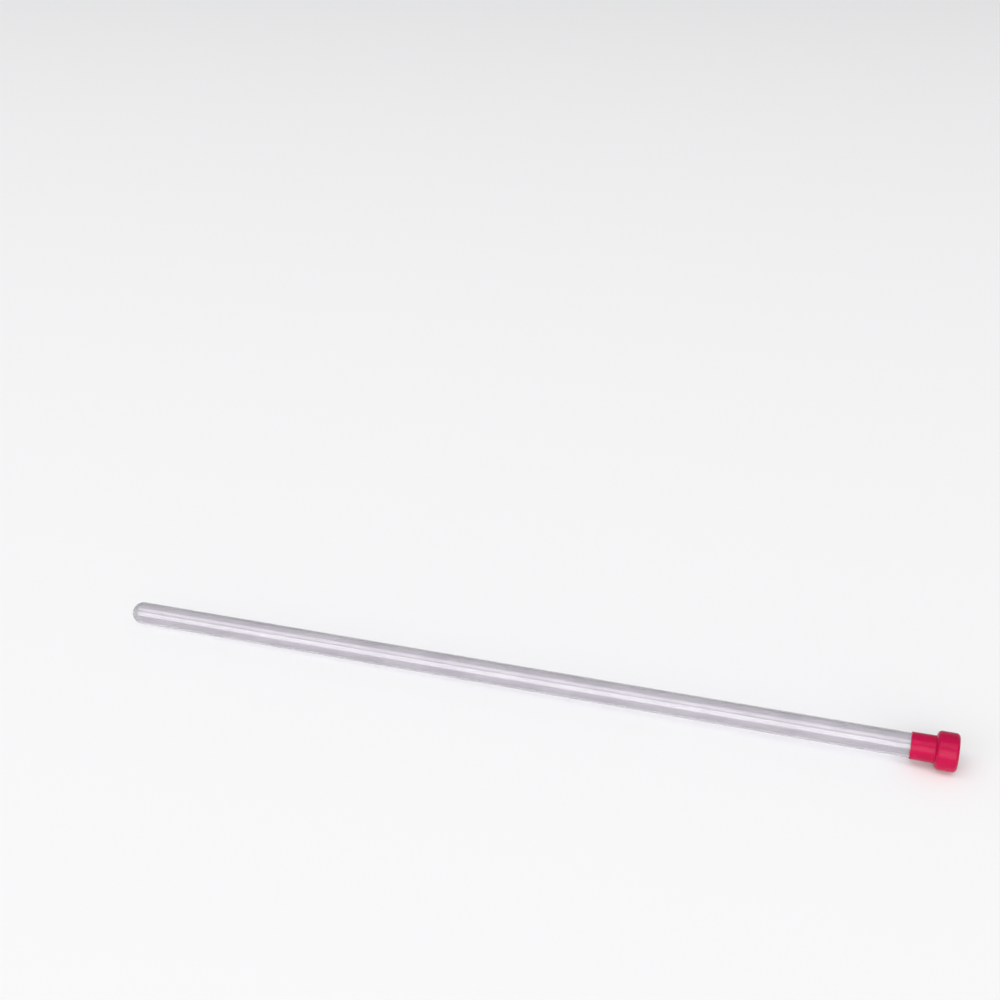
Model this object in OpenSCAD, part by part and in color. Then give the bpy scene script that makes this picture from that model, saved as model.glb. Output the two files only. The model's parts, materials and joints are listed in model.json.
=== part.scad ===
// NMR sample tube with its push-on cap, lying on a bench.
//
// Millimetres. The tube lies along X with its cap at the +X end, and z = 0 is the bench.
// The head of the cap is wider than the glass, so the tube rests on two points, the round
// bottom and the inner edge of the head, and slopes up towards the cap by rest_tilt.
// The origin is on the bench, under the middle of the whole object.

/* [Glass tube] */
// Outer diameter of the glass
tube_d = 4.965; // [3:0.005:10]
// Wall of the glass
tube_wall = 0.38; // [0.25:0.01:1]
// Length of the glass, from the tip of its round bottom to its rim
tube_length = 180; // [100:1:230]
// Glass at the tip of the bottom
bottom_wall = 0.6; // [0.3:0.05:2]
// Radius of the fire-polished edges of the rim
rim_round = 0.15; // [0.05:0.01:0.18]

/* [Cap sleeve] */
// Length of the sleeve, from its mouth to the shoulder of the head
sleeve_length = 4.8; // [3:0.1:12]
// Wall of the sleeve beside the head
sleeve_wall = 0.25; // [0.2:0.01:1]
// Wall of the sleeve at its mouth
mouth_wall = 0.2; // [0.2:0.01:0.4]
// Lead-in chamfer at the mouth of the bore
lead_in = 0.08; // [0.04:0.01:0.1]
// Chamfer around the outside of the mouth
mouth_chamfer = 0.05; // [0.02:0.01:0.08]
// Radius of the blend between the sleeve and the head
neck_round = 0.2; // [0.05:0.05:1]

/* [Cap head] */
// How far the head stands out from the sleeve
head_overhang = 1.1; // [1.05:0.05:3]
// Height of the head along the tube
head_height = 4.3; // [3.6:0.1:8]
// Radius of the two rounded edges of the head
head_round = 0.85; // [0.3:0.05:1.6]
// Depth that the bore runs on into the head
seat_depth = 2.4; // [1:0.1:3.4]

/* [Fit] */
// Radial clearance between the glass and the bore of the cap
fit_gap = 0.02; // [0.01:0.005:0.1]
// Gap between the rim of the glass and the end of the bore
seat_gap = 0.05; // [0.02:0.01:0.3]

/* [Hidden] */
$fn = 96;

// Radii, from the axis outwards
bore_r = tube_d / 2 - tube_wall;
tube_r = tube_d / 2;
socket_r = tube_r + fit_gap;
mouth_r = socket_r + mouth_wall;
sleeve_r = socket_r + sleeve_wall;
head_r = sleeve_r + head_overhang;

// Places along the axis, from the tip of the round bottom
seat_at = tube_length + seat_gap;
shoulder_at = seat_at - seat_depth;
mouth_at = shoulder_at - sleeve_length;
top_at = shoulder_at + head_height;

// Rest: a ball of tube_r at the bottom and the lower edge of the head both touch z = 0
rest_run = shoulder_at + head_round - tube_r;
rest_arm = head_r - head_round;
rest_tilt = atan(rest_arm / rest_run) - asin((tube_r - head_round) / norm([rest_run, rest_arm]));

// Where the tip of the axis lies, so that the object is centred over the origin
tip_z = tube_r * (1 - sin(rest_tilt));
low_x = tube_r * cos(rest_tilt) - tube_r;
high_x = (top_at - head_round) * cos(rest_tilt) + rest_arm * sin(rest_tilt) + head_round;
tip_x = -(low_x + high_x) / 2;

// Reach of a cut past the face that it opens
eps = 1;

// Puts what is built along +Z, from the tip of the round bottom, at rest on the bench
module at_rest() {
    translate([tip_x, 0, tip_z])
        rotate([0, 90 - rest_tilt, 0])
            children();
}

// Half section with a round tip at y = tip and a square end at y = end
module round_tipped(r, tip, end) {
    intersection() {
        translate([0, tip + r]) circle(r);
        translate([0, tip]) square([r, r]);
    }
    translate([0, tip + r]) square([r, end - tip - r]);
}

// Block from x = x0 to x1 that ends at y = y1 with both corners rounded to radius r
module round_ended(x0, x1, y0, y1, r) {
    translate([x0, y0]) square([x1 - x0, y1 - r - y0]);
    translate([x0 + r, y0]) square([x1 - x0 - 2 * r, y1 - y0]);
    for (x = [x0 + r, x1 - r])
        translate([x, y1 - r]) circle(r);
}

// Glass: round bottom, straight bore with a round end, fire-polished rim
module glass_section() {
    rim_start = tube_length - tube_wall;
    difference() {
        round_tipped(tube_r, 0, rim_start);
        round_tipped(bore_r, bottom_wall, rim_start + eps);
    }
    round_ended(bore_r, tube_r, rim_start, tube_length, rim_round);
}

module glass_tube() {
    color([0.86, 0.88, 0.9, 0.5])
        at_rest()
            rotate_extrude() glass_section();
}

// Sleeve: drawn thinner towards its mouth, straight where the neck blend starts
module sleeve_section() {
    polygon([
        [0, mouth_at],
        [mouth_r - mouth_chamfer, mouth_at],
        [mouth_r, mouth_at + mouth_chamfer],
        [sleeve_r, shoulder_at - neck_round],
        [sleeve_r, shoulder_at],
        [0, shoulder_at]
    ]);
}

// Concave blend from the sleeve out to the shoulder
module neck_section() {
    difference() {
        translate([sleeve_r, shoulder_at - neck_round]) square(neck_round);
        translate([sleeve_r + neck_round, shoulder_at - neck_round]) circle(neck_round);
    }
}

// Head: a drum with both edges rounded
module head_section() {
    translate([0, shoulder_at]) square([head_r - head_round, head_height]);
    translate([0, shoulder_at + head_round]) square([head_r, head_height - 2 * head_round]);
    for (y = [shoulder_at + head_round, top_at - head_round])
        translate([head_r - head_round, y]) circle(head_round);
}

// Bore that the glass is pushed into, with its lead-in
module socket_section() {
    translate([0, mouth_at - eps]) square([socket_r, seat_at - mouth_at + eps]);
    polygon([
        [0, mouth_at - eps],
        [socket_r + lead_in + eps, mouth_at - eps],
        [socket_r, mouth_at + lead_in],
        [0, mouth_at + lead_in]
    ]);
}

module cap_section() {
    difference() {
        union() {
            sleeve_section();
            neck_section();
            head_section();
        }
        socket_section();
    }
}

module cap() {
    color([0.8, 0.03, 0.24])
        at_rest()
            rotate_extrude() cap_section();
}

glass_tube();
cap();
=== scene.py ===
"""Sample tube with its push-on cap: drawn glass and moulded plastic on a pale studio floor.

Both pieces are bodies of revolution about the tube's own axis, which leans up towards the cap. Their sizes
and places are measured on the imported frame. The small rounds that only a maker would ask for are properties.
Lengths are in metres, and an outline is a list of corners (radius, distance along the axis, rounding).
"""

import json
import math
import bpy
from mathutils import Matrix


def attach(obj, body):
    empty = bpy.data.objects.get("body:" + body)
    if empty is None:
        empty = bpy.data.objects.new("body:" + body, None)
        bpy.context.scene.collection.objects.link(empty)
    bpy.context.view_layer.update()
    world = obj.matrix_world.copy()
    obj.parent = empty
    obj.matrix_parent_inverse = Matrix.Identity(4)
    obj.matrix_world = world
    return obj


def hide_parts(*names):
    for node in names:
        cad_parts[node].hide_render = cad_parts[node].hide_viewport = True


bl_info = {
    "name": "Capped Sample Tube",
    "version": (1, 0, 0),
    "blender": (4, 5, 0),
    "location": "3D View > Sidebar > Sample Tube",
    "description": "Builds a glass sample tube with its push-on cap, and the studio around it",
    "category": "Add Mesh",
}

import bpy
from mathutils import Euler, Matrix, Vector

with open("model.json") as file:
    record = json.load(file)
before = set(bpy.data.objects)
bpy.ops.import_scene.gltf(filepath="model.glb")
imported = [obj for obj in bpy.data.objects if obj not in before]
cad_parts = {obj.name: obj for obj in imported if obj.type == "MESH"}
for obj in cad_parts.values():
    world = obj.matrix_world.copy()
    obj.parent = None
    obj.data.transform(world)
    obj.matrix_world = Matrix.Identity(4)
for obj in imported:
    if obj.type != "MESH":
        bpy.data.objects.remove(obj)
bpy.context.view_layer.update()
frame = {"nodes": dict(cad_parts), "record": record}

MM = 0.001
TOUCH = 0.001 * MM


# Measures taken from the frame


def mount(name):
    """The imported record's mount of that name."""
    return next(m for m in frame["record"]["mounts"] if m["name"] == name)


BORE = mount("tube_bore")
WALL = mount("tube_od")
AXIS = Vector(BORE["axis"]).normalized()
LEAN = math.asin(AXIS.z)
TUBE_R = WALL["dims"]["r_mm"] * MM
BORE_R = BORE["dims"]["r_mm"] * MM
MOUTH_AT = TUBE_R + WALL["dims"]["length_mm"] * MM
TIP = Vector(WALL["pos_m"]) - AXIS * (TUBE_R + MOUTH_AT) / 2


def rings(node):
    """(radius, distance along the axis) of each corner of a CAD node."""
    found = []
    for vertex in frame["nodes"][node].data.vertices:
        arm = vertex.co - TIP
        run = arm.dot(AXIS)
        found.append(((arm - AXIS * run).length, run))
    return found


def widest(places, low, high):
    """Largest radius between two distances along the axis."""
    return max(radius for radius, run in places if low - TOUCH <= run <= high + TOUCH)


def nearest(places, low, high):
    """Smallest distance along the axis between two radii."""
    return min(run for radius, run in places if low - TOUCH <= radius <= high + TOUCH)


def farthest(places, low, high):
    """Largest distance along the axis between two radii."""
    return max(run for radius, run in places if low - TOUCH <= radius <= high + TOUCH)


GLASS_RINGS = rings("glass_tube")
CAP_RINGS = rings("cap")
RIM_AT = farthest(GLASS_RINGS, 0, TUBE_R)
FLOOR_AT = (Vector(BORE["pos_m"]) - TIP).dot(AXIS) - BORE["dims"]["length_mm"] * MM - BORE_R
TOP_AT = farthest(CAP_RINGS, 0, 1)
HEAD_R = widest(CAP_RINGS, 0, 1)
HEAD_ROUND = HEAD_R - widest(CAP_RINGS, TOP_AT, TOP_AT)
SHOULDER_AT = nearest(CAP_RINGS, HEAD_R - HEAD_ROUND, HEAD_R)
SOCKET_R = min(radius for radius, run in CAP_RINGS if radius > BORE_R)
SEAT_AT = farthest(CAP_RINGS, SOCKET_R, SOCKET_R)


# Settings


class TubeSettings(bpy.types.PropertyGroup):
    """Make and finish of the glass tube."""

    rim_round: bpy.props.FloatProperty(
        name="Rim round",
        description="Radius of the two fire-polished edges of the rim",
        default=0.15 * MM,
        min=0.02 * MM,
        max=0.18 * MM,
        precision=6,
        subtype="DISTANCE",
        unit="LENGTH",
    )
    segments: bpy.props.IntProperty(
        name="Segments",
        description="Faces around the tube",
        default=256,
        min=32,
        max=512,
    )
    tint: bpy.props.FloatVectorProperty(
        name="Tint",
        description="Colour of the glass",
        subtype="COLOR",
        size=3,
        min=0,
        max=1,
        default=(0.755, 0.735, 0.765),
    )
    veil_tint: bpy.props.FloatVectorProperty(
        name="Veil tint",
        description="Colour of the glass where handling has dulled it most",
        subtype="COLOR",
        size=3,
        min=0,
        max=1,
        default=(0.66, 0.64, 0.675),
    )
    polish: bpy.props.FloatProperty(
        name="Polish",
        description="Roughness of the cleanest glass",
        subtype="FACTOR",
        min=0,
        max=1,
        default=0.15,
    )
    veil: bpy.props.FloatProperty(
        name="Veil",
        description="Roughness that handling adds where the glass is dullest",
        subtype="FACTOR",
        min=0,
        max=1,
        default=0.06,
    )
    clearness: bpy.props.FloatProperty(
        name="Clearness",
        description="Share of the light that passes through, against the share that the surface scatters",
        subtype="FACTOR",
        min=0,
        max=1,
        default=0.93,
    )


class CapSettings(bpy.types.PropertyGroup):
    """Make and finish of the cap."""

    neck_round: bpy.props.FloatProperty(
        name="Neck round",
        description="Radius of the blend between the sleeve and the head",
        default=0.2 * MM,
        min=0.05 * MM,
        max=0.25 * MM,
        precision=6,
        subtype="DISTANCE",
        unit="LENGTH",
    )
    mouth_bevel: bpy.props.FloatProperty(
        name="Mouth bevel",
        description="Chamfer around the outside of the mouth",
        default=0.05 * MM,
        min=0.02 * MM,
        max=0.08 * MM,
        precision=6,
        subtype="DISTANCE",
        unit="LENGTH",
    )
    lead_in: bpy.props.FloatProperty(
        name="Lead-in",
        description="Chamfer at the mouth of the socket",
        default=0.08 * MM,
        min=0.04 * MM,
        max=0.1 * MM,
        precision=6,
        subtype="DISTANCE",
        unit="LENGTH",
    )
    gate_width: bpy.props.FloatProperty(
        name="Gate mark",
        description="Width of the shallow dimple that the mould's gate leaves in the end face",
        default=2.2 * MM,
        min=1.2 * MM,
        max=4 * MM,
        precision=6,
        subtype="DISTANCE",
        unit="LENGTH",
    )
    segments: bpy.props.IntProperty(
        name="Segments",
        description="Faces around the cap",
        default=192,
        min=32,
        max=512,
    )
    colour: bpy.props.FloatVectorProperty(
        name="Colour",
        description="Colour of the plastic",
        subtype="COLOR",
        size=3,
        min=0,
        max=1,
        default=(0.45, 0.0006, 0.052),
    )
    streak: bpy.props.FloatVectorProperty(
        name="Streak colour",
        description="Colour of the plastic where its pigment has gathered",
        subtype="COLOR",
        size=3,
        min=0,
        max=1,
        default=(0.35, 0.0006, 0.042),
    )
    satin: bpy.props.FloatProperty(
        name="Satin",
        description="Roughness of the moulded surface",
        subtype="FACTOR",
        min=0,
        max=1,
        default=0.2,
    )


class StudioSettings(bpy.types.PropertyGroup):
    """Floor, light and camera."""

    azimuth: bpy.props.FloatProperty(
        name="Azimuth",
        description="Direction that the camera looks in, turned from +Y towards -X",
        subtype="ANGLE",
        unit="ROTATION",
        default=math.radians(17.372),
    )
    elevation: bpy.props.FloatProperty(
        name="Elevation",
        description="How far the camera looks down",
        subtype="ANGLE",
        unit="ROTATION",
        default=math.radians(27.508),
    )
    distance: bpy.props.FloatProperty(
        name="Distance",
        description="From the camera to the point that it aims at",
        subtype="DISTANCE",
        unit="LENGTH",
        precision=5,
        default=374.28 * MM,
    )
    aim: bpy.props.FloatVectorProperty(
        name="Aim",
        description="Point on the floor that the camera aims at",
        subtype="TRANSLATION",
        unit="LENGTH",
        size=3,
        precision=5,
        default=(-28.61 * MM, 82.55 * MM, 0),
    )
    lens: bpy.props.FloatProperty(
        name="Lens",
        description="Focal length of the camera, in millimetres",
        default=50,
        min=10,
        max=200,
    )
    floor_colour: bpy.props.FloatVectorProperty(
        name="Floor",
        description="Colour of the floor",
        subtype="COLOR",
        size=3,
        min=0,
        max=1,
        default=(0.88, 0.88, 0.885),
    )
    sky: bpy.props.FloatVectorProperty(
        name="Surroundings",
        description="Colour of the light from all around",
        subtype="COLOR",
        size=3,
        min=0,
        max=1,
        default=(0.48, 0.48, 0.485),
    )


# Outlines


def bend(before, here, after, step=math.radians(6)):
    """Points of the arc that rounds the corner `here`, or the corner itself where it stays sharp."""
    corner, radius = Vector(here[:2]), here[2]
    if radius == 0:
        return [corner]
    way_in = (corner - Vector(before[:2])).normalized()
    way_out = (Vector(after[:2]) - corner).normalized()
    turn = way_in.angle_signed(way_out)
    side = Vector((way_in.y, -way_in.x)) * math.copysign(radius, turn)
    centre = corner - way_in * radius * math.tan(abs(turn) / 2) + side
    count = math.ceil(abs(turn) / step)
    return [centre - Matrix.Rotation(-turn * i / count, 2) @ side for i in range(count + 1)]


def outline(corners, stride, guard):
    """Points of an outline with its corners rounded. Long sides are divided into strides, and a short edge of
    length guard next to each end of a side keeps the shading of flat faces flat."""
    shortest_divided = 4 * guard
    bends = [[Vector(corners[0][:2])]]
    for before, here, after in zip(corners, corners[1:], corners[2:]):
        bends.append(bend(before, here, after))
    bends.append([Vector(corners[-1][:2])])
    points = list(bends[0])
    for last, following in zip(bends, bends[1:]):
        start, end = last[-1], following[0]
        side = end - start
        if side.length > shortest_divided:
            edge = side.normalized() * guard
            inner = side - 2 * edge
            count = math.ceil(inner.length / stride)
            points += [start + edge + inner * i / count for i in range(count + 1)]
        if side.length > TOUCH:
            points.append(end)
        points += following[1:]
    return points


def tube_outline(make):
    """The glass, from the floor of its bore up to the rim and down the outside to the tip of its bottom."""
    return outline(
        [
            (0, FLOOR_AT, 0),
            (BORE_R, FLOOR_AT, BORE_R),
            (BORE_R, RIM_AT, make.rim_round),
            (TUBE_R, RIM_AT, make.rim_round),
            (TUBE_R, 0, TUBE_R),
            (0, 0, 0),
        ],
        stride=3 * MM,
        guard=0.03 * MM,
    )


def cap_outline(make):
    """The cap, from the middle of its end face over the head and sleeve and up the socket to its seat."""
    sleeve_r = widest(CAP_RINGS, MOUTH_AT, SHOULDER_AT - make.neck_round)
    mouth_r = widest(CAP_RINGS, MOUTH_AT, MOUTH_AT + make.mouth_bevel)
    gate_r = make.gate_width / 2
    gate_depth = 0.1 * MM
    stub_r = 0.35 * MM
    stub_drop = 0.03 * MM
    edge = 0.02 * MM
    soft = 0.06 * MM
    return outline(
        [
            (0, TOP_AT - stub_drop, 0),
            (stub_r, TOP_AT - stub_drop, edge),
            (stub_r + soft, TOP_AT - gate_depth, edge),
            (gate_r - gate_depth, TOP_AT - gate_depth, 2 * soft),
            (gate_r, TOP_AT, 2 * soft),
            (HEAD_R, TOP_AT, HEAD_ROUND),
            (HEAD_R, SHOULDER_AT, HEAD_ROUND),
            (sleeve_r, SHOULDER_AT, make.neck_round),
            (sleeve_r, SHOULDER_AT - make.neck_round, 0),
            (mouth_r, MOUTH_AT + make.mouth_bevel, edge),
            (mouth_r - make.mouth_bevel, MOUTH_AT, edge),
            (SOCKET_R + make.lead_in, MOUTH_AT, edge),
            (SOCKET_R, MOUTH_AT + make.lead_in, edge),
            (SOCKET_R, SEAT_AT, make.neck_round / 2),
            (0, SEAT_AT, 0),
        ],
        stride=0.4 * MM,
        guard=0.01 * MM,
    )


# The lathe

LATHE_INPUTS = {
    "Guide radius": "NodeSocketFloat",
    "Segments": "NodeSocketInt",
    "Weld": "NodeSocketFloat",
    "Place": "NodeSocketVector",
    "Turn": "NodeSocketVector",
    "Finish": "NodeSocketMaterial",
}


def lathe_tree():
    """Geometry Nodes that sweep a half outline around the axis, weld its poles, and put it in its place."""
    tree = bpy.data.node_groups.get("Lathe")
    if tree:
        return tree
    tree = bpy.data.node_groups.new("Lathe", "GeometryNodeTree")
    tree.interface.new_socket("Outline", in_out="INPUT", socket_type="NodeSocketGeometry")
    for name, kind in LATHE_INPUTS.items():
        tree.interface.new_socket(name, in_out="INPUT", socket_type=kind)
    tree.interface.new_socket("Body", in_out="OUTPUT", socket_type="NodeSocketGeometry")

    given = tree.nodes.new("NodeGroupInput").outputs

    def step(kind, settings=None, **feeds):
        node = tree.nodes.new(kind)
        for name, value in (settings or {}).items():
            setattr(node, name, value)
        for name, feed in feeds.items():
            tree.links.new(feed, node.inputs[name.replace("_", " ")])
        return node.outputs[0]

    half = step("GeometryNodeMeshToCurve", Mesh=given["Outline"])
    circle = step(
        "GeometryNodeCurvePrimitiveCircle",
        Resolution=given["Segments"],
        Radius=given["Guide radius"],
    )
    guide = step("GeometryNodeSetCurveNormal", {"mode": "Z_UP"}, Curve=circle)
    swept = step("GeometryNodeCurveToMesh", Curve=guide, Profile_Curve=half)
    welded = step("GeometryNodeMergeByDistance", Geometry=swept, Distance=given["Weld"])
    smooth = step("GeometryNodeSetShadeSmooth", Geometry=welded)
    placed = step(
        "GeometryNodeTransform",
        Geometry=smooth,
        Translation=given["Place"],
        Rotation=given["Turn"],
    )
    real = step("GeometryNodeRealizeInstances", Geometry=placed)
    done = step("GeometryNodeSetMaterial", Geometry=real, Material=given["Finish"])
    tree.links.new(done, tree.nodes.new("NodeGroupOutput").inputs["Body"])
    return tree


def turned(name, points, segments, finish):
    """A piece turned on the lathe from a half outline, as a plain mesh with its place in its vertices."""
    guide = TUBE_R
    half = bpy.data.meshes.new(name + " outline")
    half.from_pydata(
        [(p.x - guide, -p.y, 0) for p in points],
        [(i, i + 1) for i in range(len(points) - 1)],
        [],
    )
    piece = bpy.data.objects.new(name, half)
    bpy.context.scene.collection.objects.link(piece)
    lathe = piece.modifiers.new("Lathe", "NODES")
    lathe.node_group = lathe_tree()
    values = {
        "Guide radius": guide,
        "Segments": segments,
        "Weld": TOUCH,
        "Place": TIP,
        "Turn": Euler((0, math.pi / 2 - LEAN, 0)),
        "Finish": finish,
    }
    for item in lathe.node_group.interface.items_tree:
        if item.in_out == "INPUT" and item.name in values:
            lathe[item.identifier] = values[item.name]
    shown = piece.evaluated_get(bpy.context.evaluated_depsgraph_get())
    body = bpy.data.meshes.new_from_object(shown)
    piece.modifiers.clear()
    piece.data = body
    body.name = name
    bpy.data.meshes.remove(half)
    return piece


# Finishes


class Field:
    """One output of a shader node. Arithmetic on it adds the nodes that work the result out."""

    def __init__(self, surface, socket):
        self.surface = surface
        self.socket = socket

    def work(self, operation, *values):
        return self.surface.add("ShaderNodeMath", {"operation": operation}, dict(enumerate(values)))

    def __add__(self, other):
        return self.work("ADD", self, other)

    def __mul__(self, other):
        return self.work("MULTIPLY", self, other)

    __radd__ = __add__
    __rmul__ = __mul__


class Surface:
    """A material in the making, with one way to add a node to it."""

    def __init__(self, name):
        self.material = bpy.data.materials.new(name)
        self.material.use_nodes = True
        self.tree = self.material.node_tree
        self.tree.nodes.clear()

    def add(self, kind, settings=None, values=None, output=0):
        """Adds a node: its settings first, then the values or links of its sockets. Returns one output."""
        node = self.tree.nodes.new(kind)
        for name, value in (settings or {}).items():
            if name == "stops":
                self.set_stops(node.color_ramp.elements, value)
            else:
                setattr(node, name, value)
        for key, value in (values or {}).items():
            if isinstance(value, Field):
                self.tree.links.new(value.socket, node.inputs[key])
            else:
                node.inputs[key].default_value = value
        return Field(self, node.outputs[output])

    @staticmethod
    def set_stops(elements, stops):
        """Gives a colour ramp its stops, each a place and a grey."""
        while len(elements) < len(stops):
            elements.new(1)
        for element, (place, grey) in zip(elements, stops):
            element.position = place
            element.color = (grey, grey, grey, 1)

    def grain(self, along, across, detail=2.0, roughness=0.5, warp=0.0):
        """Noise from 0 to 1 whose grains have that length along the tube's axis and that width across it."""
        place = self.add("ShaderNodeTexCoord", output="Object")
        scaled = self.add(
            "ShaderNodeMapping",
            {"vector_type": "TEXTURE"},
            {"Vector": place, "Location": TIP, "Rotation": (0, -LEAN, 0), "Scale": (along, across, across)},
        )
        return self.add(
            "ShaderNodeTexNoise",
            {"noise_dimensions": "3D"},
            {"Vector": scaled, "Scale": 1, "Detail": detail, "Roughness": roughness, "Distortion": warp},
        )

    def ramp(self, field, stops):
        """Sends a field through a ramp of greys."""
        return self.add("ShaderNodeValToRGB", {"stops": stops}, {"Fac": field})

    def mixed(self, share, first, second):
        """Colour between two colours."""
        return self.add("ShaderNodeMix", {"data_type": "RGBA"}, {0: share, 6: first, 7: second}, output=2)

    def bump(self, height, distance):
        """Normal of a surface with that relief, distance high."""
        return self.add("ShaderNodeBump", None, {"Height": height, "Distance": distance, "Strength": 1})

    def finish(self, shader):
        """Ends the material with that shader."""
        output = self.tree.nodes.new("ShaderNodeOutputMaterial")
        self.tree.links.new(shader.socket, output.inputs["Surface"])
        return self.material


BOROSILICATE_IOR = 1.474
POLYETHYLENE_IOR = 1.51


def rgba(colour):
    """A colour with full alpha."""
    return (*colour, 1)


def glass_finish(look):
    """Drawn glass: faint lines along it from the drawing, and a veil from handling that comes and goes.
    It lets the lamps' light straight through, so that its shadow is as pale as that of real glass."""
    surface = Surface("drawn glass")
    lines = surface.grain(60 * MM, 0.3 * MM)
    veil = surface.ramp(surface.grain(9 * MM, 2.2 * MM, detail=3, warp=0.4), [(0.35, 0), (0.7, 1)])
    glass = surface.add(
        "ShaderNodeBsdfPrincipled",
        None,
        {
            "Base Color": surface.mixed(veil, rgba(look.tint), rgba(look.veil_tint)),
            "Roughness": veil * look.veil + look.polish,
            "IOR": BOROSILICATE_IOR,
            "Transmission Weight": look.clearness,
            "Coat Weight": 0.7,
            "Coat Roughness": 0.08,
            "Normal": surface.bump(lines, 0.0012 * MM),
        },
    )
    lamp_ray = surface.add("ShaderNodeLightPath", output="Is Shadow Ray")
    let_through = surface.add("ShaderNodeBsdfTransparent", None, {"Color": (0.9, 0.89, 0.91, 1)})
    return surface.finish(surface.add("ShaderNodeMixShader", None, {0: lamp_ray, 1: glass, 2: let_through}))


def cap_finish(look):
    """Satin polyethylene, coloured through: pigment drawn out along the flow, and the mould's fine grain."""
    surface = Surface("crimson polyethylene")
    flow = surface.ramp(surface.grain(2.6 * MM, 0.8 * MM, detail=3, warp=0.6), [(0.3, 0), (0.75, 1)])
    grain = surface.grain(0.07 * MM, 0.07 * MM, roughness=0.6)
    waves = surface.grain(1.4 * MM, 1.1 * MM)
    uneven = grain * 0.08 + waves * 0.06
    plastic = surface.add(
        "ShaderNodeBsdfPrincipled",
        None,
        {
            "Base Color": surface.mixed(flow, rgba(look.colour), rgba(look.streak)),
            "Roughness": uneven + look.satin,
            "IOR": POLYETHYLENE_IOR,
            "Specular IOR Level": 0.16,
            "Subsurface Weight": 0.15,
            "Subsurface Radius": (1, 0.16, 0.2),
            "Subsurface Scale": 0.7 * MM,
            "Normal": surface.bump(grain * 0.4 + waves, 0.012 * MM),
        },
    )
    return surface.finish(plastic)


def floor_finish(colour):
    """Matt paper with a trace of its fibres."""
    surface = Surface("studio paper")
    fibres = surface.grain(0.6 * MM, 0.6 * MM, detail=4)
    paper = surface.add(
        "ShaderNodeBsdfPrincipled",
        None,
        {
            "Base Color": rgba(colour),
            "Roughness": fibres * 0.1 + 0.7,
            "Specular IOR Level": 0.2,
        },
    )
    return surface.finish(paper)


# Operators


class SAMPLETUBE_OT_glass(bpy.types.Operator):
    """Turn the glass tube, with its round bottom, its wall and its fire-polished rim"""

    bl_idname = "sample_tube.glass"
    bl_label = "Glass tube"

    def execute(self, context):
        make = context.scene.sample_tube
        piece = turned("sample_tube_glass", tube_outline(make), make.segments, glass_finish(make))
        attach(piece, "tube")
        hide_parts("glass_tube")
        return {"FINISHED"}


class SAMPLETUBE_OT_cap(bpy.types.Operator):
    """Turn the cap, with its thin sleeve, its rounded head and the socket for the glass"""

    bl_idname = "sample_tube.cap"
    bl_label = "Cap"

    def execute(self, context):
        make = context.scene.sample_tube_cap
        piece = turned("sample_tube_cap", cap_outline(make), make.segments, cap_finish(make))
        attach(piece, "cap")
        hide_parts("cap")
        return {"FINISHED"}


def toward(azimuth, elevation):
    """Unit vector from the object to what looks at it from there. Azimuth 0 looks along +Y."""
    return Vector(
        (
            math.sin(azimuth) * math.cos(elevation),
            -math.cos(azimuth) * math.cos(elevation),
            math.sin(elevation),
        )
    )


def add_floor(studio):
    """A wide pale floor."""
    half = 4.0
    corners = [(-half, -half, 0), (half, -half, 0), (half, half, 0), (-half, half, 0)]
    mesh = bpy.data.meshes.new("floor")
    mesh.from_pydata(corners, [], [(0, 1, 2, 3)])
    mesh.materials.append(floor_finish(studio.floor_colour))
    floor = bpy.data.objects.new("floor", mesh)
    bpy.context.scene.collection.objects.link(floor)


# Each soft light: its name, azimuth and elevation in degrees, distance, length along X, other side and watts
LIGHTS = [
    ("front softbox", 0, 20, 4.0, 8.0, 2.9, 208),
    ("overhead softbox", 0, 70, 4.0, 8.0, 2.0, 85),
]


def add_lights():
    """Area lights that face the object."""
    for name, azimuth, elevation, distance, length, depth, watts in LIGHTS:
        data = bpy.data.lights.new(name, "AREA")
        data.shape = "RECTANGLE"
        data.size = length
        data.size_y = depth
        data.energy = watts
        lamp = bpy.data.objects.new(name, data)
        direction = toward(math.radians(azimuth), math.radians(elevation))
        lamp.location = direction * distance
        lamp.rotation_euler = direction.to_track_quat("Z", "Y").to_euler()
        bpy.context.scene.collection.objects.link(lamp)


def add_surroundings(studio):
    """Even light from all around."""
    world = bpy.data.worlds.new("studio")
    world.use_nodes = True
    world.node_tree.nodes["Background"].inputs["Color"].default_value = rgba(studio.sky)
    bpy.context.scene.world = world


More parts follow.
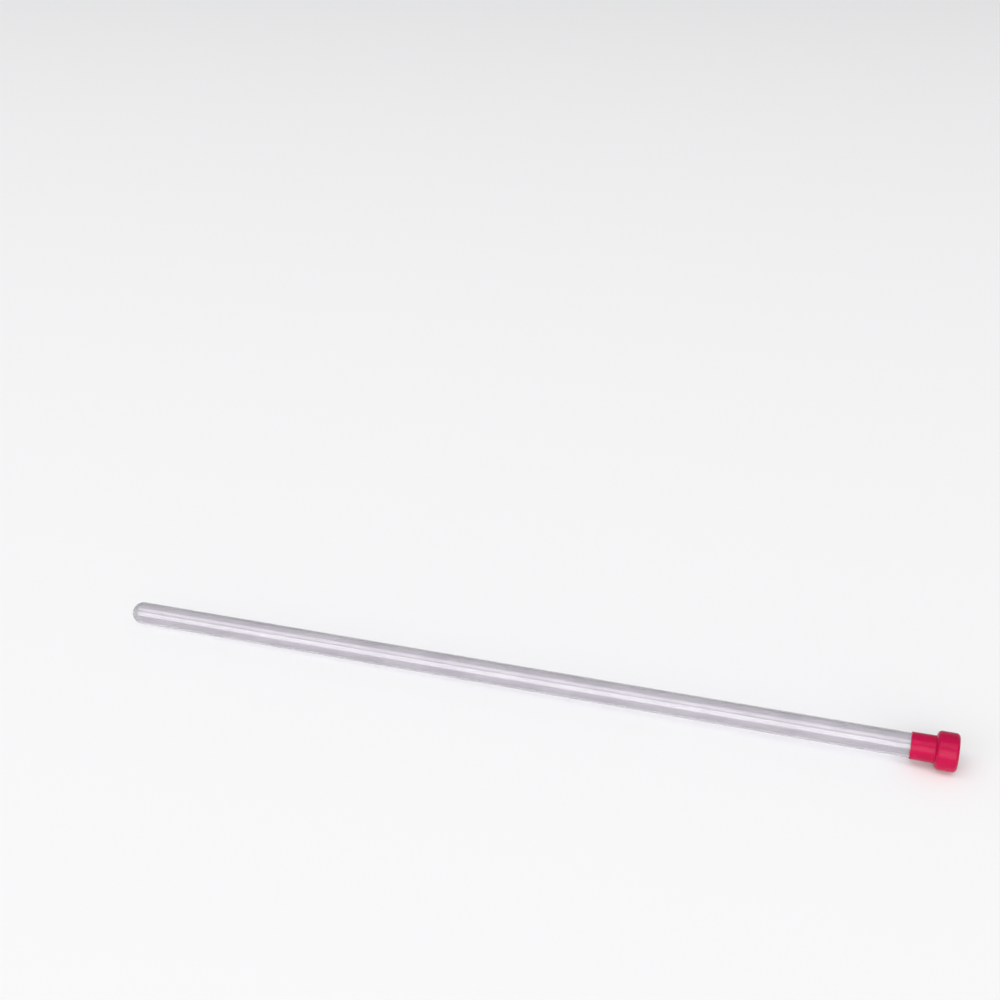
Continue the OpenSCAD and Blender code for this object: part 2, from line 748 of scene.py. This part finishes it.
def add_camera(studio):
    """The camera, level, that aims at a point on the floor."""
    data = bpy.data.cameras.new("camera")
    data.lens = studio.lens
    data.sensor_width = 36
    data.clip_start = 10 * MM
    camera = bpy.data.objects.new("camera", data)
    direction = toward(studio.azimuth, studio.elevation)
    camera.location = Vector(studio.aim) + direction * studio.distance
    camera.rotation_euler = direction.to_track_quat("Z", "Y").to_euler()
    bpy.context.scene.collection.objects.link(camera)
    bpy.context.scene.camera = camera


class SAMPLETUBE_OT_studio(bpy.types.Operator):
    """Set up the pale floor, the soft lights and the camera"""

    bl_idname = "sample_tube.studio"
    bl_label = "Studio"

    def execute(self, context):
        studio = context.scene.sample_tube_studio
        add_floor(studio)
        add_lights()
        add_surroundings(studio)
        add_camera(studio)
        context.scene.view_settings.view_transform = "Standard"
        return {"FINISHED"}


class SAMPLETUBE_PT_panel(bpy.types.Panel):
    """Sizes and finishes of the sample tube, with a button for each piece"""

    bl_idname = "SAMPLETUBE_PT_panel"
    bl_label = "Sample Tube"
    bl_space_type = "VIEW_3D"
    bl_region_type = "UI"
    bl_category = "Sample Tube"

    def draw(self, context):
        for name, (_, operator) in SETTINGS.items():
            box = self.layout.box()
            settings = getattr(context.scene, name)
            for prop in settings.bl_rna.properties:
                if prop.identifier not in ("rna_type", "name"):
                    box.prop(settings, prop.identifier)
            box.operator(operator)


# Each group of settings: its class, and the operator that it is for
SETTINGS = {
    "sample_tube": (TubeSettings, "sample_tube.glass"),
    "sample_tube_cap": (CapSettings, "sample_tube.cap"),
    "sample_tube_studio": (StudioSettings, "sample_tube.studio"),
}
CLASSES = (
    TubeSettings,
    CapSettings,
    StudioSettings,
    SAMPLETUBE_OT_glass,
    SAMPLETUBE_OT_cap,
    SAMPLETUBE_OT_studio,
    SAMPLETUBE_PT_panel,
)


def register():
    """Adds the classes, and the settings to the scene."""
    for cls in CLASSES:
        bpy.utils.register_class(cls)
    for name, (cls, _) in SETTINGS.items():
        setattr(bpy.types.Scene, name, bpy.props.PointerProperty(type=cls))


def unregister():
    """Takes away what register added."""
    for name in SETTINGS:
        delattr(bpy.types.Scene, name)
    for cls in reversed(CLASSES):
        bpy.utils.unregister_class(cls)


def main():
    """Builds both pieces and the studio."""
    register()
    bpy.ops.sample_tube.studio()
    bpy.ops.sample_tube.glass()
    bpy.ops.sample_tube.cap()


if __name__ == "__main__":
    main()
